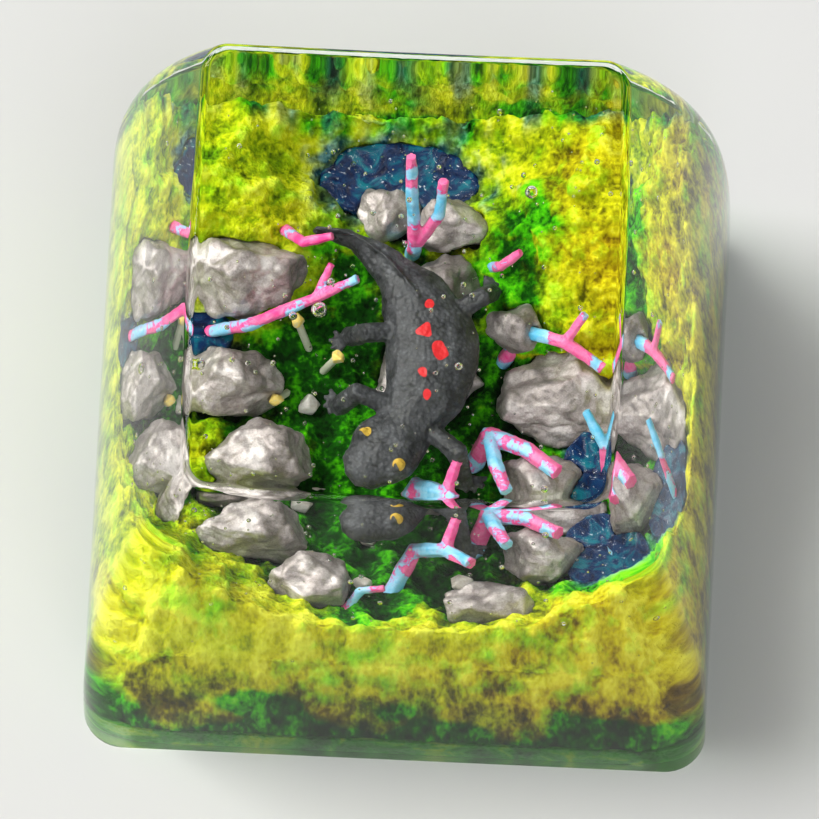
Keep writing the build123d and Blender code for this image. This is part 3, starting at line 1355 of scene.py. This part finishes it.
    @staticmethod
    def warmth(spot: Vector) -> float:
        """Gives how far the yellow turns to ochre, most at the right and along the front.

        Args:
            spot: A point of the skin.

        Returns:
            The warmth to paint, from 0 to 1.
        """
        drift = noise.noise(spot * 0.6 + Vector((1.0, 5.0, 8.0)))
        right = clamp((spot.x - 2.5) / 3.0, 0.0, 1.2)
        front = max(0.0, (-5.0 - spot.y) / 3.5)
        return clamp(0.08 + 0.5 * drift + 0.55 * right + 0.6 * front)


@dataclass
class Batch(Piece):
    """Pieces of one kind: smoothed copies of their solids, with a shape of their own.

    Attributes:
        kind: Start of their nodes' names.
        ends: Ends of their nodes' names.
        label: Pattern of the pieces' names.
        slot: The record's material slot.
        finish: The finish that they share.
    """

    kind: str = "stone"
    ends: Sequence[Any] = range(1, 13)
    label: str = "gravel_{end}"
    slot: Slot = Slot.STONE
    finish: Any = StoneFinish()

    def build(self) -> None:
        """Builds every piece of the kind."""
        material = self.finish.material()
        for end in self.ends:
            self.build_one(end, material)

    def build_one(self, end: Any, material: bpy.types.Material) -> None:
        """Builds one piece.

        Args:
            end: End of its node's name.
            material: Its material.
        """
        node = f"{self.kind}_{end}"
        form = self.even(self.blank(node))
        self.shape(form)
        self.publish(form, self.label.format(node=node, end=end), material, self.slot, node)

    def shape(self, form: BMesh) -> None:
        """Gives a copy the shape or the paint of its kind."""
        raise NotImplementedError


@dataclass
class Gravel(Batch):
    """Grey stones, with chips and flats on their skin."""

    voxel: float = 0.075
    smoothing: int = 4
    depth: float = 0.09
    chips: Layers = ((1.7, 1.3), (6.0, 0.3))
    flat_pace: float = 1.5
    flat_weight: float = 1.5
    flat_mean: float = 0.3

    def shape(self, form: BMesh) -> None:
        """Chips a stone's skin."""
        self.raise_skin(form, lambda spot, normal: self.depth * self.chipped(spot))

    def chipped(self, spot: Vector) -> float:
        """Gives the pattern of the chips and flats at a point of the skin."""
        near, after = noise.voronoi(spot * self.flat_pace)[0][:2]
        return layered(spot, self.chips) + self.flat_weight * (after - near - self.flat_mean)


@dataclass
class Pebbles(Gravel):
    """Small pale pebbles."""

    kind: str = "pebble"
    ends: Sequence[Any] = range(1, 5)
    label: str = "grit_{end}"
    slot: Slot = Slot.PALE_STONE
    finish: StoneFinish = StoneFinish(
        "pale_pebble",
        ((0.3, 0.48, 0.42, 0.36), (0.5, 0.68, 0.62, 0.56), (0.68, 0.85, 0.82, 0.78)),
        0.05,
    )
    voxel: float = 0.035
    depth: float = 0.03


@dataclass
class Twigs(Batch):
    """Painted twigs, slightly knotty and thinner towards the tip."""

    kind: str = "twig"
    label: str = "painted_{node}"
    slot: Slot = Slot.TWIG
    voxel: float = 0.045
    smoothing: int = 2
    knots: float = 0.035
    knot_layers: Layers = ((1.6, 1.0), (5.0, 0.5))
    thicken: float = 0.03
    taper: float = 0.07
    shifts: tuple[float, ...] = (-0.02, 0.05, 0.0, 0.02, -0.03, 0.06, 0.0, -0.06, 0.03)

    def build(self) -> None:
        """Builds every twig with paint of its own."""
        for number, shift in enumerate(self.shifts, 1):
            paint = TwigFinish(f"twig_paint_{number}", shift)
            self.build_one(number, paint.material())

    def shape(self, form: BMesh) -> None:
        """Gives a twig its knots and its taper.

        Args:
            form: The twig's mesh.
        """
        root = min(form.verts, key=lambda vert: vert.co.z).co.copy()
        reach = max((vert.co - root).length for vert in form.verts)

        def knotty(spot: Vector, normal: Vector) -> float:
            """Gives the height of the knots at a point of the skin."""
            thick = self.thicken - self.taper * ((spot - root).length / reach) ** 2
            return thick + self.knots * layered(spot, self.knot_layers)

        self.raise_skin(form, knotty)


@dataclass
class Sprouts(Batch):
    """Pale sprouts with yellow buds."""

    kind: str = "sprout"
    ends: Sequence[Any] = range(1, 4)
    label: str = "pale_{node}"
    slot: Slot = Slot.SPROUT
    finish: SproutFinish = SproutFinish()
    voxel: float = 0.035

    def shape(self, form: BMesh) -> None:
        """Paints how far up a sprout each vertex is.

        Args:
            form: The sprout's mesh.
        """
        levels = [vert.co.z for vert in form.verts]
        low, high = min(levels), max(levels)
        tip = form.verts.layers.float.new("sprout_tip")
        for vert in form.verts:
            vert[tip] = (vert.co.z - low) / (high - low)


@dataclass
class Pools(Batch):
    """Dark pools, with a slow ripple on their faces."""

    kind: str = "pool"
    ends: Sequence[Any] = ("back", "left", "right")
    label: str = "{node}_glaze"
    slot: Slot = Slot.POOL
    finish: PoolFinish = PoolFinish()
    voxel: float = 0.07
    ripples: Layers = ((1.8, 0.05),)

    def shape(self, form: BMesh) -> None:
        """Ripples a pool's face."""
        self.raise_skin(form, lambda spot, normal: layered(spot, self.ripples))


@dataclass
class Newt(Piece):
    """The newt: a body along a spine, four legs with toes, eyes and a spotted back.

    Attributes:
        lift: Height of the spine's zero.
        spine: The spine's points from tail to snout.
        girth: Share of the length, half width and half height of the body.
        marks: Share of the length, place beside the spine and reach of each spot.
        legs: Share of the length and stride of each pair of legs.
        stance: How far the feet stand from the spine.
        step_down: How far the feet stand below it.
        toe_ahead: How far forward the toes point on a front foot and a hind foot.
        toe_girth: Half width and half height along a toe.
    """

    finish: ClayFinish = ClayFinish()
    voxel: float = 0.05
    smoothing: int = 5
    lift: float = 8.15
    spine: tuple[Triple, ...] = (
        (-2.9, 3.7, 0.6),
        (-1.6, 3.5, 0.1),
        (-0.2, 2.3, 0.1),
        (0.7, 0.7, 0.1),
        (0.7, -0.9, 0.1),
        (-0.1, -2.5, 0.0),
        (-1.4, -3.9, 0.1),
    )
    girth: tuple[Triple, ...] = (
        (0.0, 0.08, 0.16),
        (0.14, 0.24, 0.46),
        (0.28, 0.56, 0.62),
        (0.40, 1.10, 0.82),
        (0.54, 1.42, 0.92),
        (0.68, 1.22, 0.84),
        (0.78, 0.86, 0.64),
        (0.88, 1.10, 0.66),
        (0.96, 0.74, 0.46),
        (1.0, 0.30, 0.22),
    )
    stations: int = 64
    sides: int = 24
    fine_sides: int = 8
    wart_layers: Layers = ((2.4, 0.035), (8.0, 0.02))
    marks: tuple[Triple, ...] = (
        (0.44, 0.22, 0.14),
        (0.51, -0.2, 0.19),
        (0.58, 0.25, 0.24),
        (0.65, -0.2, 0.2),
        (0.71, 0.2, 0.15),
    )
    mark_layers: Layers = ((3.0, 0.14),)
    mark_edge: float = 0.08
    back_level: float = 0.25
    back_slope: float = 0.3
    legs: tuple[Pair, ...] = ((0.46, -0.7), (0.75, 0.7))
    stance: float = 2.25
    step_down: float = 1.0
    toe_length: float = 0.5
    toe_drop: float = 0.06
    toe_ahead: Pair = (0.5, -0.2)
    toe_turns: tuple[float, ...] = (-55.0, -18.0, 18.0, 55.0)
    toe_girth: tuple[Pair, ...] = (
        (0.12, 0.1),
        (0.1, 0.09),
        (0.09, 0.08),
        (0.1, 0.08),
        (0.07, 0.06),
    )
    eye_share: float = 0.89
    eye_spread: float = 0.72
    eye_height: float = 0.5
    eye_reach: float = 0.2
    eye_edge: float = 0.05
    crest_end: float = 0.42
    crest_steps: int = 16
    crest_half: float = 0.06
    crest_low: float = 0.07
    crest_rise: float = 0.16

    def build(self) -> None:
        """Builds the newt."""
        form = self.blank("newt")
        shares = [step / self.stations for step in range(self.stations + 1)]
        girths = [self.girth_at(share) for share in shares]
        self.tube(form, [self.at(share) for share in shares], girths, self.sides)
        self.add_crest(form)
        self.add_toes(form)
        form = self.even(form)
        self.raise_skin(form, lambda spot, normal: layered(spot, self.wart_layers))
        self.paint(form)
        self.publish(form, "clay_newt", self.finish.material(), Slot.CLAY, "newt")

    def at(self, share: float) -> Vector:
        """Finds a point of the smooth spine.

        Args:
            share: Share of the way from tail to snout.

        Returns:
            The point.
        """
        places = [Vector((x, y, z + self.lift)) for x, y, z in self.spine]
        place = share * (len(places) - 1)
        step = min(int(place), len(places) - 2)
        rest = place - step
        before, start = places[max(step - 1, 0)], places[step]
        end, after = places[step + 1], places[min(step + 2, len(places) - 1)]
        bend = start * 2.0 + (end - before) * rest
        bend += (before * 2.0 - start * 5.0 + end * 4.0 - after) * rest**2
        return (bend + (start * 3.0 - before - end * 3.0 + after) * rest**3) / 2.0

    def girth_at(self, share: float) -> Pair:
        """Gives the body's girth, eased between the stated places.

        Args:
            share: Share of the way from tail to snout.

        Returns:
            Half width and half height.
        """
        for (low, wide, high), (top, next_wide, next_high) in zip(self.girth, self.girth[1:]):
            if share <= top:
                rest = (share - low) / (top - low)
                rest = rest * rest * (3.0 - 2.0 * rest)
                return wide + (next_wide - wide) * rest, high + (next_high - high) * rest
        return self.girth[-1][1:]

    def beside(self, share: float) -> tuple[Vector, Vector, Vector]:
        """Finds the spine's level directions.

        Args:
            share: Share of the way from tail to snout.

        Returns:
            The spine's point, the way ahead and the way across.
        """
        ahead = self.at(min(share + 0.01, 1.0)) - self.at(max(share - 0.01, 0.0))
        ahead.z = 0.0
        ahead.normalize()
        return self.at(share), ahead, Vector((-ahead.y, ahead.x, 0.0))

    def add_crest(self, form: BMesh) -> None:
        """Adds the low fin along the tail.

        Args:
            form: The newt's mesh.
        """
        points, radii = [], []
        for step in range(self.crest_steps + 1):
            share = self.crest_end * step / self.crest_steps
            bulge = math.sin(math.pi * share / self.crest_end)
            points.append(self.at(share) + UP * self.girth_at(share)[1])
            radii.append((self.crest_half, self.crest_low + self.crest_rise * bulge))
        self.tube(form, points, radii, self.fine_sides)

    def add_toes(self, form: BMesh) -> None:
        """Adds four toes to the end of each leg.

        Args:
            form: The newt's mesh, with its legs.
        """
        ends = [vert.co.copy() for vert in form.verts]
        last = len(self.toe_girth) - 1
        for share, stride in self.legs:
            middle, ahead, across = self.beside(share)
            for side in (-1.0, 1.0):
                outward = across * side + ahead * self.toe_ahead[0 if stride > 0.0 else 1]
                guess = middle + across * (side * self.stance) + ahead * stride
                guess -= UP * self.step_down
                foot = min(ends, key=lambda end: (end - guess).length).lerp(guess, 0.5)
                for turn in self.toe_turns:
                    way = outward.normalized()
                    way.rotate(Matrix.Rotation(math.radians(turn), 3, "Z"))
                    tip = foot + way * self.toe_length - UP * self.toe_drop
                    points = [foot.lerp(tip, step / last) for step in range(last + 1)]
                    self.tube(form, points, self.toe_girth, self.fine_sides)

    def paint(self, form: BMesh) -> None:
        """Paints the spots on the back and the eyes.

        Args:
            form: The newt's mesh.
        """
        form.normal_update()
        spot = form.verts.layers.float.new("newt_spot")
        eye = form.verts.layers.float.new("newt_eye")
        middle, _, across = self.beside(self.eye_share)
        rise = UP * self.eye_height
        eyes = [middle + across * (side * self.eye_spread) + rise for side in (-1.0, 1.0)]
        marks = []
        for share, side, reach in self.marks:
            place, _, sideways = self.beside(share)
            marks.append((place + sideways * side, reach))
        for vert in form.verts:
            depth = max(reach - (vert.co.xy - place.xy).length for place, reach in marks)
            depth += layered(vert.co, self.mark_layers)
            back = vert.co.z > self.lift + self.back_level and vert.normal.z > self.back_slope
            vert[spot] = float(back) * clamp(depth / self.mark_edge + 0.5)
            glint = min((vert.co - place).length for place in eyes)
            vert[eye] = clamp((self.eye_reach - glint) / self.eye_edge + 0.5)


@dataclass
class Backing(Piece):
    """The green backing with the hollow and the socket, kept as its node."""

    finish: BackingFinish = BackingFinish()

    def build(self) -> None:
        """Gives the node its finish."""
        materials = self.nodes["stem_base"].data.materials
        materials.clear()
        materials.append(self.finish.material())
        LOG.info("stem_base: kept as its node")


@dataclass(frozen=True)
class Lamp:
    """A soft box, with its place and width in metres and its power in watts."""

    name: str
    place: Triple
    size: float
    power: float
    tint: Triple

    def hang(self, aim: Vector) -> None:
        """Hangs the lamp and turns it to a point.

        Args:
            aim: The point in metres.
        """
        light = bpy.data.lights.new(self.name, "AREA")
        light.size = self.size
        light.energy = self.power
        light.color = self.tint
        lamp = show(self.name, light)
        lamp.location = self.place
        way = aim - Vector(self.place)
        lamp.rotation_euler = way.to_track_quat("-Z", "Y").to_euler()


@dataclass
class Studio:
    """The pale floor, the soft light and the camera.

    Attributes:
        elevation: The camera's angle above the horizon, in degrees.
        azimuth: Its turn to the right.
        roll: Its lean.
        aim_height: Height of the point that it aims at, in millimetres.
        aim_pixel: Where that point lies in the picture.
        distance: The camera's distance in millimetres.
        floor_half: Half the floor's width in metres.
        floor_drop: How far the floor lies below the foot, in metres.
        wall: Strength of the world's bright wall, at the left.
        far_wall: Strength of its wall at the right.
        ceiling: Strength of its ceiling.
        side_range: How far left and right the walls shade into each other.
        rise_range: How far up the walls shade into the ceiling.
    """

    elevation: float = 68.8
    azimuth: float = 3.6
    roll: float = -0.78
    pixels_per_mm: float = 34.37
    aim_height: float = 7.0
    aim_pixel: Pair = (406.9, 382.9)
    distance: float = 800.0
    clip_range: Pair = (0.01, 10.0)
    floor_half: float = 0.18
    floor_drop: float = 0.00002
    floor_tone: Four = (0.74, 0.74, 0.74, 1.0)
    wall: float = 0.9
    far_wall: float = 0.3
    ceiling: float = 0.14
    side_range: Pair = (-0.7, 0.7)
    rise_range: Pair = (0.1, 0.7)
    lamps: tuple[Lamp, ...] = (
        Lamp("key", (-0.66, 0.24, 0.76), 0.6, 11.2, (1.0, 0.985, 0.96)),
        Lamp("fill", (0.24, -0.68, 0.80), 0.64, 3.2, (0.97, 0.985, 1.0)),
    )

    def build(self) -> None:
        """Builds the floor, the lamps, the world and the camera."""
        self.lay_floor()
        self.light_world()
        for lamp in self.lamps:
            lamp.hang(UP * (self.aim_height * MM))
        self.set_camera()
        bpy.context.scene.view_settings.view_transform = "Standard"

    def lay_floor(self) -> None:
        """Lays the pale floor, which isn't part of the object."""
        form = bmesh.new()
        bmesh.ops.create_grid(form, x_segments=1, y_segments=1, size=self.floor_half)
        bmesh.ops.translate(form, vec=UP * -self.floor_drop, verts=form.verts)
        floor = show("studio_floor", as_mesh(form, "studio_floor"))
        shader = Shader("pale_floor")
        shader.finish(Base_Color=self.floor_tone, Roughness=0.9, Specular_IOR_Level=0.1)
        floor.data.materials.append(shader.material)

    def light_world(self) -> None:
        """Lights the world like a room with a bright wall at the left and a dimmer ceiling."""
        world = bpy.data.worlds.new("studio_world")
        bpy.context.scene.world = world
        world.use_nodes = True
        nodes = Nodes(world.node_tree)
        way = nodes.add("TexCoord", "Generated", {})
        across = nodes.add("SeparateXYZ", "X", {"Vector": way})
        side = nodes.stretch(across, *self.side_range, self.wall, self.far_wall)
        upward = across.node.outputs["Z"]
        strength = nodes.stretch(upward, *self.rise_range, side, self.ceiling)
        background = nodes.tree.nodes["Background"].inputs
        nodes.feed(background["Color"], (1.0, 1.0, 1.0, 1.0))
        nodes.feed(background["Strength"], strength)

    def set_camera(self) -> None:
        """Sets the camera at the photograph's viewing angle."""
        tilt, turn, lean = (math.radians(a) for a in (self.elevation, self.azimuth, self.roll))
        level = Vector((math.sin(turn), -math.cos(turn), 0.0))
        back = level * math.cos(tilt) + UP * math.sin(tilt)
        right = Vector((math.cos(turn), math.sin(turn), 0.0))
        upward = back.cross(right)
        across = right * math.cos(lean) + upward * math.sin(lean)
        rise = upward * math.cos(lean) - right * math.sin(lean)
        half = FRAME_PIXELS / 2.0
        aim = UP * self.aim_height
        aim += across * ((half - self.aim_pixel[0]) / self.pixels_per_mm)
        aim -= rise * ((half - self.aim_pixel[1]) / self.pixels_per_mm)
        turned = Matrix((across, rise, back)).transposed().to_4x4()
        data = bpy.data.cameras.new("camera")
        data.sensor_width = SENSOR_MM
        data.lens = self.pixels_per_mm * self.distance * SENSOR_MM / FRAME_PIXELS
        data.clip_start, data.clip_end = self.clip_range
        camera = show("camera", data)
        camera.matrix_world = Matrix.Translation((aim + back * self.distance) * MM) @ turned
        bpy.context.scene.camera = camera


def main() -> None:
    """Builds the keycap's pieces in order."""
    logging.basicConfig(level=logging.INFO, format="%(name)s %(message)s")
    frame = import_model()
    for kind in (Backing, MossBank, Gravel, Pebbles, Twigs, Pools, Sprouts, Newt, ResinBlock):
        kind(frame["nodes"]).build()
    Studio().build()


if __name__ == "__main__":
    main()
